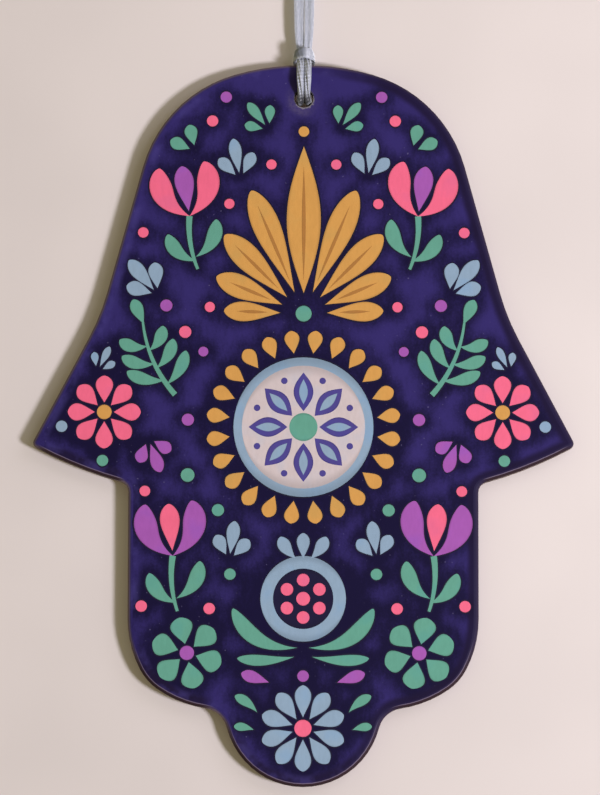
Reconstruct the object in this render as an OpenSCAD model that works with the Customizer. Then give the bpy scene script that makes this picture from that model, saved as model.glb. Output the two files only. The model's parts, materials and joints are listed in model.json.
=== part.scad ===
// A hand-shaped wall plaque that hangs by a doubled ribbon.
// The front faces -Y, +Z is up, and the origin is the nail that the ribbon hangs from.

/* [Hand outline] */
// Height of the hand, from the top of its dome to the middle fingertip
hand_h = 190.7; // [176:0.1:225]
// Width across the two thumbs
thumb_span = 142.3; // [130:0.1:156]
// Depth of the thumb tips below the top of the dome
thumb_drop = 100.7; // [90:0.1:112]
// Radius of a thumb's tip
thumb_tip_r = 1.5; // [1.5:0.1:4]
// Radius of a thumb's underside
thumb_under_r = 111; // [70:1:160]
// Slope of a thumb's underside beside its tip, in degrees
thumb_under_slope = 28; // [20:1:34]
// Radius of the hollow corner under a thumb
thumb_notch_r = 2.7; // [1.5:0.1:6]
// Width of the palm below the thumbs
palm_w = 92.1; // [82:0.1:104]
// Width of the hand at its waist, where the sides begin to flare
waist_w = 108.3; // [104:0.1:114]
// Depth of the waist below the top of the dome
waist_drop = 67.5; // [60:0.5:75]
// Lean of the side at the waist, in degrees from upright
waist_lean = 22; // [19:0.5:25]
// Radius of the hollow curve at the waist
waist_r = 60; // [20:1:100]
// Radius of the top of the dome
dome_r = 66; // [58:1:80]
// How far the top of the dome turns before its shoulder begins, in degrees
dome_turn = 16; // [8:1:22]
// Radius of the dome's shoulder
shoulder_r = 35.5; // [28:0.5:42]
// Height above the middle fingertip at which the palm's straight sides end
finger_h = 44; // [40:0.5:50]
// Radius of an outer finger's side
finger_side_r = 28.7; // [24:0.1:34]
// How far an outer finger's side turns, in degrees
finger_side_turn = 28; // [20:1:36]
// Radius of an outer finger's corner
finger_corner_r = 14.4; // [10:0.1:18]
// How far an outer finger's corner turns, in degrees
finger_corner_turn = 27.5; // [20:0.5:36]
// Radius of an outer finger's end
finger_end_r = 30.2; // [24:0.1:36]
// Radius of the middle finger
middle_finger_r = 20.6; // [17:0.1:24]
// Radius of the web between the middle finger and an outer finger
web_r = 6.8; // [4:0.1:9]

/* [Board and coats] */
// Thickness of the hardboard
board_t = 3.2; // [3:0.1:6]
// Radius of the rolled front edge
roll_r = 1.4; // [0.8:0.1:1.5]
// Bevel on the back edge
back_bevel = 0.2; // [0.1:0.05:0.6]
// Thickness of the white ground coat
ground_t = 0.12; // [0.05:0.01:0.25]
// Thickness of the printed and varnished coat
print_t = 0.1; // [0.05:0.01:0.25]
// How far round the rolled edge the ground coat reaches, in degrees
ground_wrap = 64; // [60:1:80]
// How far round the rolled edge the print reaches, in degrees
print_wrap = 54; // [44:1:58]
// Diameter of the hole for the ribbon
hole_d = 4.8; // [4.5:0.1:6.5]
// Depth of the hole's centre below the top of the dome
hole_drop = 9.1; // [9:0.1:12]
// How far the ground coat stops short of the hole's edge
ground_setback = 0.1; // [0.05:0.05:0.5]
// How far the print stops short of the ground coat's edge at the hole
print_setback = 0.2; // [0.05:0.05:0.5]

/* [Ribbon] */
// Height of the nail above the top of the dome
nail_rise = 36; // [36:0.5:80]
// Diameter of the nail that the ribbon hangs from
nail_d = 2; // [1.5:0.1:2.2]
// Width of the ribbon
ribbon_w = 3; // [2.5:0.1:3.4]
// Thickness of the ribbon where it lies flat
ribbon_t = 0.4; // [0.2:0.05:0.5]
// How far each side the ornament swings on its nail, in degrees
swing = 30; // [10:1:34]

/* [Hidden] */

// Least distance between a curve and its chords
chord_gap = 0.04;
// Shortest straight run of the outline that is kept
least_run = 0.05;
// Gap between the ribbon and the nail
nail_gap = 0.1;
// Rim angles of the rolled edge, from the face round to the side
rim_angles = [0, 18, 36, print_wrap, ground_wrap, 90];
// Height of the dome's top in the ornament's own frame
dome_z = -nail_rise;

// Direction that points out of the hand where its outline has the given heading
function outward(heading) = [cos(heading + 90), sin(heading + 90)];

// Centre of a disc of radius r that touches disc a from inside or outside at the given heading
function touching(a, r, heading) = [a.x, a.y] + (a.z - r) * outward(heading);

// Centre of a disc of radius r that touches discs a and b, on the left of the way from a to b
function nested(a, b, r) =
    let (way = [b.x - a.x, b.y - a.y], gap = norm(way), da = abs(a.z - r), db = abs(b.z - r),
         along = (da * da - db * db + gap * gap) / (2 * gap),
         across = sqrt(max(da * da - along * along, 0)))
    [a.x, a.y] + along / gap * way + across / gap * [-way.y, way.x];

function disc(centre, r) = [centre.x, centre.y, r];

// The right half of the hand is a belt drawn round these discs, from the dome to the middle finger.
// Each is [x, height, radius], and a hollow curve has a negative radius.
dome = [0, -dome_r, dome_r];
shoulder = disc(touching(dome, shoulder_r, -dome_turn), shoulder_r);
waist = disc([waist_w / 2, -waist_drop] + waist_r * outward(waist_lean - 90), -waist_r);
thumb_tip = [thumb_span / 2 - thumb_tip_r, -thumb_drop, thumb_tip_r];
thumb_under = disc(touching(thumb_tip, thumb_under_r, thumb_under_slope - 180), thumb_under_r);
notch_x = palm_w / 2 + thumb_notch_r;
notch_fall = sqrt(pow(thumb_under_r + thumb_notch_r, 2) - pow(notch_x - thumb_under.x, 2));
thumb_notch = [notch_x, thumb_under.y - notch_fall, -thumb_notch_r];
finger_side = [palm_w / 2 - finger_side_r, finger_h - hand_h, finger_side_r];
finger_corner = disc(touching(finger_side, finger_corner_r, -90 - finger_side_turn), finger_corner_r);
finger_end = disc(touching(finger_corner, finger_end_r, -90 - finger_side_turn - finger_corner_turn),
                  finger_end_r);
middle_finger = [0, middle_finger_r - hand_h, middle_finger_r];
web = disc(nested(finger_end, middle_finger, -web_r), -web_r);
belt = [dome, shoulder, waist, thumb_tip, thumb_under, thumb_notch, finger_side, finger_corner,
        finger_end, web, middle_finger];

// Heading of the straight run of belt between two discs, in degrees clockwise from the right
function run_heading(a, b) =
    let (way = [b.x - a.x, b.y - a.y], lean = max(-1, min(1, (a.z - b.z) / norm(way))),
         heading = atan2(way.y, way.x) - asin(lean))
    heading > 0 ? heading - 360 : heading;

headings = concat([0], [for (i = [1:len(belt) - 1]) run_heading(belt[i - 1], belt[i])], [-180]);

// Discs that touch share a point, which the later one leaves out
function shares_point(i) =
    i == 0 ? false :
    let (a = belt[i - 1], b = belt[i])
    pow(b.x - a.x, 2) + pow(b.y - a.y, 2) - pow(a.z - b.z, 2) < pow(least_run, 2);

// Number of chords on a disc of radius r over a turn
function chords(r, turn) = max(1, ceil(abs(turn) / (2 * acos(1 - chord_gap / abs(r)))));

// The right half of the outline, moved in from the edge by inset
function half_outline(inset) =
    [for (i = [0:len(belt) - 1])
        let (r = belt[i].z, reach = r > 0 ? max(r - inset, 0.02) : r - inset,
             turn = headings[i + 1] - headings[i], steps = chords(r, turn))
        for (k = [(shares_point(i) ? 1 : 0):steps])
            [belt[i].x, belt[i].y] + reach * outward(headings[i] + turn * k / steps)];

// The whole outline, clockwise from the top of the dome, at one depth
function outline(inset, y) =
    let (half = half_outline(inset), last = len(half) - 1)
    concat([for (p = half) [p.x, y, dome_z + p.y]],
           [for (i = [last - 1:-1:1]) [-half[i].x, y, dome_z + half[i].y]]);

// The rolled edge's outline at a rim angle, stood off from the board by a coat
function rim(angle, coat) =
    outline(roll_r - (roll_r + coat) * sin(angle), roll_r - board_t / 2 - (roll_r + coat) * cos(angle));

// The four corners between two neighbours on one row and on the next, as one flat face or as two
function patch(c, flat) = flat ? [c] : [[c[0], c[1], c[2]], [c[0], c[2], c[3]]];

// A closed skin over rows of points, each clockwise as seen from the rows that follow it
module loft(rows, flat) {
    n = len(rows[0]);
    last = len(rows) - 1;
    polyhedron(
        points = [for (row = rows) for (p = row) p],
        faces = concat(
            [[for (j = [n - 1:-1:0]) j], [for (j = [0:n - 1]) last * n + j]],
            [for (i = [0:last - 1]) for (j = [0:n - 1])
                let (next = (j + 1) % n)
                each patch([i * n + j, i * n + next, (i + 1) * n + next, (i + 1) * n + j], flat)]),
        convexity = 6);
}

// A coat of the front that lies on the coats below it and wraps the rolled edge up to a rim angle
module coat(below, above, wrap) {
    angles = [for (a = rim_angles) if (a <= wrap) a];
    loft(concat([for (a = angles) rim(a, below)],
                [for (i = [len(angles) - 1:-1:0]) rim(angles[i], above)]), flat = true);
}

module ribbon_hole(d) {
    translate([0, 0, dome_z - hole_drop]) rotate([90, 0, 0])
        cylinder(d = d, h = 3 * board_t, center = true, $fn = 64);
}

module board() {
    color("#3b2629") difference() {
        loft(concat([outline(back_bevel, board_t / 2), outline(0, board_t / 2 - back_bevel)],
                    [for (i = [len(rim_angles) - 1:-1:0]) rim(rim_angles[i], 0)]), flat = true);
        ribbon_hole(hole_d);
    }
}

module white_ground() {
    color("#d9d2cf") difference() {
        coat(0, ground_t, ground_wrap);
        ribbon_hole(hole_d + 2 * ground_setback);
    }
}

module printed_face() {
    color("#2e2560") difference() {
        coat(ground_t, ground_t + print_t, print_wrap);
        ribbon_hole(hole_d + 2 * (ground_setback + print_setback));
    }
}

// Rows of a ribbon's route are [x, y, height, out x, out y, out height, half width, half thickness],
// where out is the way that its face points.

// The hitch's right half, from under the strand, down the front, through the hole, up the back,
// over the top of the dome and round to the middle of the bar, with heights above the dome's top
front = -board_t / 2;
back = board_t / 2;
hole_z = -hole_drop;
hitch_route = [
    [0.95, 0, 3.7, 0, -1, 0, 0.9, 0.3],
    [0.95, -0.1, 3.1, 0, -1, 0.2, 0.9, 0.3],
    [0.95, 0.45 * front - 0.2, 2.1, 0, -1, 0.9, 0.9, 0.3],
    [0.95, front - 0.4, 1.1, 0, -1, 0.8, 0.95, 0.35],
    [1.0, front - 1.45, -0.5, 0, -1, 0.3, 0.95, 0.65],
    [1.0, front - 1.95, 0.4 * hole_z, 0, -1, 0, 0.95, 1.05],
    [0.9, front - 1.75, 0.7 * hole_z, 0, -1, -0.2, 0.88, 0.95],
    [0.85, front - 1.05, hole_z + 0.9, 0, -1, -0.7, 0.8, 0.65],
    [0.85, front + 0.1, hole_z, 0, -0.3, -1, 0.8, 0.55],
    [0.85, 0, hole_z - 0.2, 0, 0, -1, 0.8, 0.55],
    [0.85, back - 0.2, hole_z, 0, 0.3, -1, 0.8, 0.5],
    [0.9, back + 0.7, hole_z + 0.9, 0, 1, -0.8, 0.85, 0.4],
    [1.0, back + 0.9, 0.7 * hole_z, 0, 1, 0, 1, 0.35],
    [1.25, back + 0.9, 0.4 * hole_z, 0, 1, 0, 1.1, 0.35],
    [1.7, back + 0.95, -0.5, 0.1, 1, 0, 1, 0.35],
    [2.1, back + 0.7, 1.2, 0.5, 1, 0.3, 0.9, 0.35],
    [2.45, 0.75 * back, 2.5, 1, 0.3, 0.2, 1.1, 0.3],
    [2.5, 0.3 * front, 2.75, 1, -0.2, 0.1, 1.3, 0.25],
    [2.15, front - 0.3, 2.8, 0.8, -0.6, 0, 1.35, 0.25],
    [1.2, front - 1.15, 2.8, 0.35, -1, 0, 1.4, 0.25],
    [0, front - 1.35, 2.8, 0, -1, 0, 1.4, 0.25]];

// The right strand's upper end, beside the nail, with heights in the ornament's own frame
strand_x = nail_d / 2 + nail_gap + ribbon_t / 2;
strand_top = [
    [strand_x, 0, 0, 1, 0, 0, ribbon_w / 2, ribbon_t / 2],
    [strand_x, 0, -2.5, 1, 0, 0, ribbon_w / 2, ribbon_t / 2],
    [1.35, 0, -6, 0.94, -0.34, 0, ribbon_w / 2, ribbon_t / 2],
    [1.42, 0, -9.5, 0.7, -0.7, 0, ribbon_w / 2, ribbon_t / 2]];

// Its lower end, with heights above the dome's top
strand_foot = [
    [1.48, -0.05, 23, 0.3, -0.95, 0, 1.4, ribbon_t / 2],
    [1.42, -0.12, 18, 0, -1, 0, 1.3, ribbon_t / 2],
    [1.25, -0.15, 9, 0, -1, 0, 1.1, 0.25],
    [0.95, 0, 4.9, 0, -1, 0, 0.9, 0.3],
    [0.95, 0, 4.3, 0, -1, 0, 0.9, 0.3]];

// One tail, from inside the knot to its cut end, with heights above the nail
tail_route = [
    [0.5, 0, 4.8, 0, -1, 0, 0.8, 0.4],
    [1, -0.2, 7, 0.1, -1, 0, 1.1, 0.3],
    [2.1, -0.5, 9.5, 0.2, -1, 0, 1.5, 0.2],
    [3.8, -0.8, 12.5, 0.3, -1, 0, 1.5, 0.2]];

// Knot: radius of its core, of the turns round it, and how far those lean
knot_r = 2;
knot_turn_r = 0.85;
knot_leans = [[28, 0, 0], [0, -32, 0]];
// Gap left between the turn on the nail and a strand that has swung to its limit, in degrees
saddle_gap = 8;

function unit(v) = v / norm(v);
function raised(route, height) = [for (r = route) r + [0, 0, height, 0, 0, 0, 0, 0]];
function mirrored(route) = [for (r = route) [-r[0], r[1], r[2], -r[3], r[4], r[5], r[6], r[7]]];
function backwards(route) = [for (i = [len(route) - 1:-1:0]) route[i]];

// An eight-sided tube along a ribbon's route
module ribbon_tube(route) {
    last = len(route) - 1;
    at = [for (r = route) [r[0], r[1], r[2]]];
    loft([for (i = [0:last])
        let (along = unit(at[min(i + 1, last)] - at[max(i - 1, 0)]),
             out = [route[i][3], route[i][4], route[i][5]],
             face = unit(out - (out * along) * along),
             edge = cross(along, face))
        [for (a = [22.5:45:337.5])
            at[i] + (cos(a) * route[i][6] * edge + sin(a) * route[i][7] * face) / cos(22.5)]],
        flat = false);
}

// The hitch's right half, its bar and its left half, in one unbroken length
module ribbon_hitch() {
    half = raised(hitch_route, dome_z);
    other = backwards(mirrored(half));
    color("#a9b3c6") ribbon_tube(concat(half, [for (i = [1:len(other) - 1]) other[i]]));
}

function strand() = concat(strand_top, raised(strand_foot, dome_z));

module ribbon_right_strand() {
    color("#b4bccb") ribbon_tube(strand());
}

module ribbon_left_strand() {
    color("#b4bccb") mirror([1, 0, 0]) ribbon_tube(strand());
}

// The turn of ribbon that lies on the nail
module saddle() {
    start = swing + saddle_gap;
    rotate([90, 0, 0]) rotate([0, 0, start]) rotate_extrude(angle = 180 - 2 * start, $fn = 64)
        translate([nail_d / 2 + nail_gap, -ribbon_w / 2]) square([ribbon_t, ribbon_w]);
}

// The overhand knot that closes the loop, with its two tails
module ribbon_knot() {
    color("#9aa4b8") {
        saddle();
        translate([0, 0, nail_d / 2 + nail_gap + knot_r]) {
            sphere(r = knot_r, $fn = 48);
            for (lean = knot_leans)
                rotate(lean) rotate_extrude($fn = 48) translate([knot_r, 0]) circle(r = knot_turn_r, $fn = 24);
        }
        ribbon_tube(tail_route);
        ribbon_tube(mirrored(tail_route));
    }
}

board();
white_ground();
printed_face();
ribbon_hitch();
ribbon_left_strand();
ribbon_right_strand();
ribbon_knot();
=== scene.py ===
"""Dresses a packed hamsa hand plaque: its painted front, its hardboard and its satin ribbon."""

import json
import math

import bpy
import numpy as np
from bpy.props import FloatProperty, FloatVectorProperty, PointerProperty
from mathutils import Matrix, Vector


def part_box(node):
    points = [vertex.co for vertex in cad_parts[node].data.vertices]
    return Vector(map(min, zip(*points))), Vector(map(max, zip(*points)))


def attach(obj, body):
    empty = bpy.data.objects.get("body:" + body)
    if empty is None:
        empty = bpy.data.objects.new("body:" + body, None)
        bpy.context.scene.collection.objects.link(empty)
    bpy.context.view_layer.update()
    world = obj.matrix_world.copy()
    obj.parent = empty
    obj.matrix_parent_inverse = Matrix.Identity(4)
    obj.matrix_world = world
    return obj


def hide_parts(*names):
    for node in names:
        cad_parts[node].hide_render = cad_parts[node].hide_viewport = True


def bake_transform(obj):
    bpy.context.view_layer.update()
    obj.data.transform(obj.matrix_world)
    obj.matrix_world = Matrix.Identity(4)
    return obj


bl_info = {
    "name": "Hamsa hand plaque",
    "version": (1, 0, 0),
    "blender": (4, 5, 0),
    "location": "View3D > Sidebar > Plaque",
    "description": "Paints the plaque, ties its ribbon and lights it on its wall",
    "category": "Object",
}

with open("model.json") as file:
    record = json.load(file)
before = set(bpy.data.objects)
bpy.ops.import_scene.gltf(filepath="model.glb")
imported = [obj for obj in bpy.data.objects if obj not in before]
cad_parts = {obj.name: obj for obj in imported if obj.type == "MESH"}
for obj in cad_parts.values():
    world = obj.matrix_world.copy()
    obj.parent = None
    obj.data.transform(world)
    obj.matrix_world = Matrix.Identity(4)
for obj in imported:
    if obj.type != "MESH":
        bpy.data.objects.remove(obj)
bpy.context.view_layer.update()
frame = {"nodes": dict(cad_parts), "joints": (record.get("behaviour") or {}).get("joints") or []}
MM = 0.001
# Heights of the dome's top and of the ribbon's hole.
DOME_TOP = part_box("board")[1].z
HOLE = next(j["pos_m"][2] for j in frame["joints"] if j["name"] == "rock")
# Where the print's front and the board's back lie, from front to back.
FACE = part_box("printed_face")[0].y
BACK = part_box("board")[1].y
# From one wire to the next of the press's screen, and from one rib of the satin to the next.
SCREEN_STEP = 1.3 * MM
RIB_STEP = 0.22 * MM
# Radius of the ring round the hole where the print is worn.
WORN_RING = 3.2 * MM


def web(code):
    """A colour written as #rrggbb, as the linear light that Blender mixes."""
    c = np.array([int(code[i : i + 2], 16) for i in (1, 3, 5)]) / 255
    light = np.where(c <= 0.04045, c / 12.92, ((c + 0.055) / 1.055) ** 2.4)
    return (*(float(x) for x in light), 1.0)


# Tones inside a finish, and colours of the lamps, which a user would hardly change.
PALE_DUST = web("#77709a")
HAZE = web("#8b7f88")
WORN_PRINT = web("#9a9299")
TAN_MAT = web("#6d4f3d")
DARK_STAIN = web("#33211b")
SCREEN_PIT = web("#2c1b16")
# Painted shade in the bore of the hole.
BORE_SHADE = web("#17151a")
COAT_SPECK = web("#8d7f80")
CHIP_DARK = web("#443f4b")
CHIP_PALE = web("#8b8790")
OUTER_COAT = web("#5a484c")
# Ribbon tones: a painted sheen on the paler threads, a painted highlight on crests and edges, and
# painted shade deep in the hole.
PALE_THREAD = web("#c9ccd6")
THREAD_HIGHLIGHT = web("#f0f2f8")
THREAD_IN_SHADE = web("#2b2a30")
PALE_FLOOR = web("#e0d6d2")
PALE_AIR = web("#e4dad6")
WARM_LIGHT = web("#fcf3c6")
KEY_LIGHT = web("#f6f3ff")
FILL_LIGHT = web("#eae4ff")
REAR_LIGHT = web("#f4f4ff")


def tinted(base, red, green, blue):
    """A colour with its red, green and blue light each made stronger or weaker, up to 1."""
    return (*(min(1.0, k * x) for k, x in zip((red, green, blue), base)), 1.0)


def colour(name, code, words):
    """A colour that a user may change, from its #rrggbb code."""
    return FloatVectorProperty(
        name=name, description=words, subtype="COLOR", size=4, min=0, max=1, default=web(code)
    )


def amount(name, value, words, **kind):
    """A number that a user may change."""
    return FloatProperty(name=name, description=words, default=value, **kind)


def length(name, metres, words):
    """A length that a user may change, in metres and never below nothing."""
    return amount(name, metres, words, min=0, unit="LENGTH", precision=5)


class PaintColours(bpy.types.PropertyGroup):
    """Colours of the painted front."""

    night: colour("Night", "#33296a", "Open ground of the painting")
    shade: colour("Shade", "#120b33", "Ground close to the motifs and between them")
    outline: colour("Outline", "#120c30", "Thin dark line round each motif")
    gold: colour("Gold", "#cf984f", "Palmette and the rays of the roundel")
    ochre: colour("Ochre", "#a9743a", "Veins on the gold leaves")
    pink: colour("Pink", "#ec6788", "Tulips, seeds and daisies")
    purple: colour("Purple", "#a055ab", "Tulip hearts and buds")
    teal: colour("Teal", "#5f9d8a", "Leaves and stems")
    sky: colour("Sky", "#8aa2b9", "Pomegranate, sprigs and the roundel's rim")
    white: colour("White", "#cabcbd", "Disc of the roundel")
    # Violet also serves as a painted reflection along the hand's left edge.
    violet: colour("Violet", "#4a4189", "Star of petals on the roundel")
    # The next three colours are painted light on the rolled edge: painted shade on the right and
    # lower edges, a painted reflection on the left edge and a painted highlight along the lower
    # edges.
    rim: colour("Rim", "#190f30", "Darkened right edge of the painting")
    rubbed: colour("Rubbed", "#7d6c72", "Rubbed left edge of the painting")
    glint: colour("Glint", "#7f7088", "Fine pale line along the edges that face down")
    bare: colour("Bare", "#33232a", "Worn edge outside that line")


class MakeColours(bpy.types.PropertyGroup):
    """Colours of the board, its ground coat, the ribbon and the wall."""

    board: colour("Board", "#4a3129", "Pressed hardboard on the back and the edge")
    fibre: colour("Fibre", "#7a5a45", "Paler fibres in the hardboard")
    ground: colour("Ground coat", "#d6cdc9", "White coat under the painting")
    ribbon: colour("Ribbon", "#a4a9b8", "Satin ribbon")
    # Fold is the colour of the painted shade in the ribbon's folds.
    fold: colour("Fold", "#7a7f8e", "Satin ribbon in its folds")
    wall: colour("Wall", "#dfd6d3", "Wall and floor behind the plaque")


class PlaqueSizes(bpy.types.PropertyGroup):
    """Sizes of the paint and the ribbon that a user would change."""

    paint: length("Paint", 0.016 * MM, "Thickness of one layer of paint")
    line: length("Outline", 0.42 * MM, "Width of the dark line round each motif")
    halo: length("Halo", 2.4 * MM, "Reach of the darker ground round each motif")
    satin: length("Satin", 0.16 * MM, "Thickness of the ribbon")
    ribbon: length("Ribbon", 3 * MM, "Width of the ribbon")


class StageSizes(bpy.types.PropertyGroup):
    """Where the camera and the lamps stand."""

    distance: length("Distance", 0.95, "From the camera to the plaque's front")
    view_height: length("View height", 0.2092, "Height of the view at the plaque's front")
    look_x: amount("Look at x", -0.00092, "Middle of the view, from side to side", unit="LENGTH")
    look_z: amount("Look at z", -0.1247, "Middle of the view, in height", unit="LENGTH")
    rise: amount("Rise", math.radians(-5), "Camera's height angle", subtype="ANGLE")
    roll: amount("Roll", math.radians(0.1), "Camera's roll", subtype="ANGLE")
    key: amount("Key", 13.9, "Power of the main lamp", min=0, unit="POWER")
    fill: amount("Fill", 1.7, "Power of the fill lamp", min=0, unit="POWER")
    air: amount("Air", 0.33, "Strength of the light from all round", min=0)


def sums(operation, swapped=False):
    """A method that adds one Math node, with its two values swapped where Python reflects them."""

    def reckon(self, other):
        return self.math(operation, *((other, self) if swapped else (self, other)))

    return reckon


class Reckoned:
    """A number, colour or vector in a material; sums with it add Math nodes."""

    def __init__(self, finish, socket):
        self.finish, self.socket = finish, socket

    def math(self, operation, *values, clamp=False):
        """A Math node on one, two or three values."""
        settings = {"operation": operation, "use_clamp": clamp}
        return self.finish.node("ShaderNodeMath", settings, dict(enumerate(values)))

    def sine(self):
        return self.math("SINE", self)

    def size(self):
        return self.math("ABSOLUTE", self)

    def at_least(self, other):
        return self.math("MAXIMUM", self, other)

    __add__, __radd__ = sums("ADD"), sums("ADD", True)
    __sub__, __rsub__ = sums("SUBTRACT"), sums("SUBTRACT", True)
    __mul__, __rmul__ = sums("MULTIPLY"), sums("MULTIPLY", True)


class Finish:
    """The nodes of one procedural material, named for what it covers, or of the world."""

    def __init__(self, owner):
        self.owner = owner
        owner.use_nodes = True
        self.tree = owner.node_tree
        self.tree.nodes.clear()

    def node(self, kind, settings=None, sockets=None, output=0):
        """A node of any type, with its settings first, then values or links for its sockets."""
        made = self.tree.nodes.new(kind)
        for key, value in (settings or {}).items():
            if key == "stops":
                self.stops(made.color_ramp, value)
            else:
                setattr(made, key, value)
        for key, value in (sockets or {}).items():
            if isinstance(value, Reckoned):
                self.tree.links.new(value.socket, made.inputs[key])
            else:
                made.inputs[key].default_value = value
        return Reckoned(self, made.outputs[output])

    def stops(self, ramp, values):
        """Sets a ramp's stops from pairs of position and grey level or colour."""
        while len(ramp.elements) < len(values):
            ramp.elements.new(0.5)
        for element, (position, value) in zip(ramp.elements, values):
            element.position = position
            element.color = value if isinstance(value, tuple) else (value, value, value, 1)

    def place(self):
        """The point on the object, in metres."""
        return self.node("ShaderNodeTexCoord", output="Object")

    def stretched(self, vector, scale, turn=(0, 0, 0)):
        """A point turned and scaled, which draws a pattern out where the scale is under 1."""
        return self.node(
            "ShaderNodeMapping", {}, {"Vector": vector, "Rotation": turn, "Scale": scale}
        )

    def noise(self, vector, grain, detail=3.0, rough=0.5):
        """Cloudy noise from 0 to 1 with patches about as large as grain, in metres."""
        return self.node(
            "ShaderNodeTexNoise",
            {},
            {"Vector": vector, "Scale": 1 / grain, "Detail": detail, "Roughness": rough},
        )

    def steps(self, value, low, high):
        """0 below low and 1 above high, with a smooth change between them."""
        return self.node(
            "ShaderNodeMapRange",
            {"interpolation_type": "SMOOTHSTEP"},
            {"Value": value, "From Min": low, "From Max": high},
        )

    def blend(self, share, a, b, how="MIX"):
        """Colour a where share is 0 and colour b where it is 1."""
        settings = {"data_type": "RGBA", "blend_type": how}
        return self.node("ShaderNodeMix", settings, {0: share, 6: a, 7: b}, output=2)

    def parts(self, vector, which):
        """The X, Y or Z of a vector."""
        return self.node("ShaderNodeSeparateXYZ", {}, {0: vector}, output=which)

    def carried(self, name):
        """A number that the mesh carries at its points."""
        settings = {"attribute_type": "GEOMETRY", "attribute_name": name}
        return self.node("ShaderNodeAttribute", settings, output="Fac")

    def from_hole(self):
        """How far a point is from the axis of the ribbon's hole, in metres."""
        flat = self.stretched(self.place(), (1, 0, 1))
        ends = {0: flat, 1: (0, 0, HOLE)}
        return self.node("ShaderNodeVectorMath", {"operation": "DISTANCE"}, ends, output="Value")

    def facing_down(self):
        """Where the edge faces down: under the thumbs, at the outer corners and the fingertip."""
        place = self.place()
        out = self.parts(place, "X").size()
        below = DOME_TOP - self.parts(place, "Z")
        thumbs = self.steps(out, 46.6 * MM, 49 * MM) * self.steps(below, 100.9 * MM, 103 * MM)
        middle = 1 - self.steps(out, 22 * MM, 27 * MM)
        corners = (1 - middle) * self.steps(below, 151 * MM, 162 * MM)
        fingertip = middle * self.steps(below, 171 * MM, 182 * MM)
        return thumbs.math("ADD", thumbs, corners + fingertip, clamp=True)

    def chips(self):
        """Where the coats have chipped at the hole, from 0 to 1: the chips are wear, and their
        larger share on the hole's lower right is a painted highlight.
        """
        place = self.place()
        below = self.parts(place, "X") * 0.6 - (self.parts(place, "Z") - HOLE)
        there = self.steps(below, -1 * MM, 3.2 * MM)
        return self.steps(self.noise(place, 0.6 * MM, 3.0, 0.7) + there * 0.35, 0.5, 0.8)

    def bump(self, height, depth, strength):
        """A slant of the surface, from a height of 0 to 1 that stands for a depth in metres."""
        sockets = {"Height": height, "Distance": depth, "Strength": strength}
        return self.node("ShaderNodeBump", {}, sockets)

    def surface(self, **sockets):
        """Finishes the material with one Principled shader; underscores stand for spaces."""
        named = {key.replace("_", " "): value for key, value in sockets.items()}
        shader = self.node("ShaderNodeBsdfPrincipled", {}, named)
        return self.ends_in("ShaderNodeOutputMaterial", shader)

    def ends_in(self, kind, shader):
        """Joins the last shader to the output and hands back the finished material or world."""
        out = self.tree.nodes.new(kind)
        self.tree.links.new(shader.socket, out.inputs["Surface"])
        return self.owner


def kept(make):
    """Makes a material on its first use and hands back the same one after that."""

    def once(*words):
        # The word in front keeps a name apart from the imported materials, which are named by slot.
        name = "_".join(["plaque", make.__name__, *words])
        return bpy.data.materials.get(name) or make(Finish(bpy.data.materials.new(name)), *words)

    return once


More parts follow.
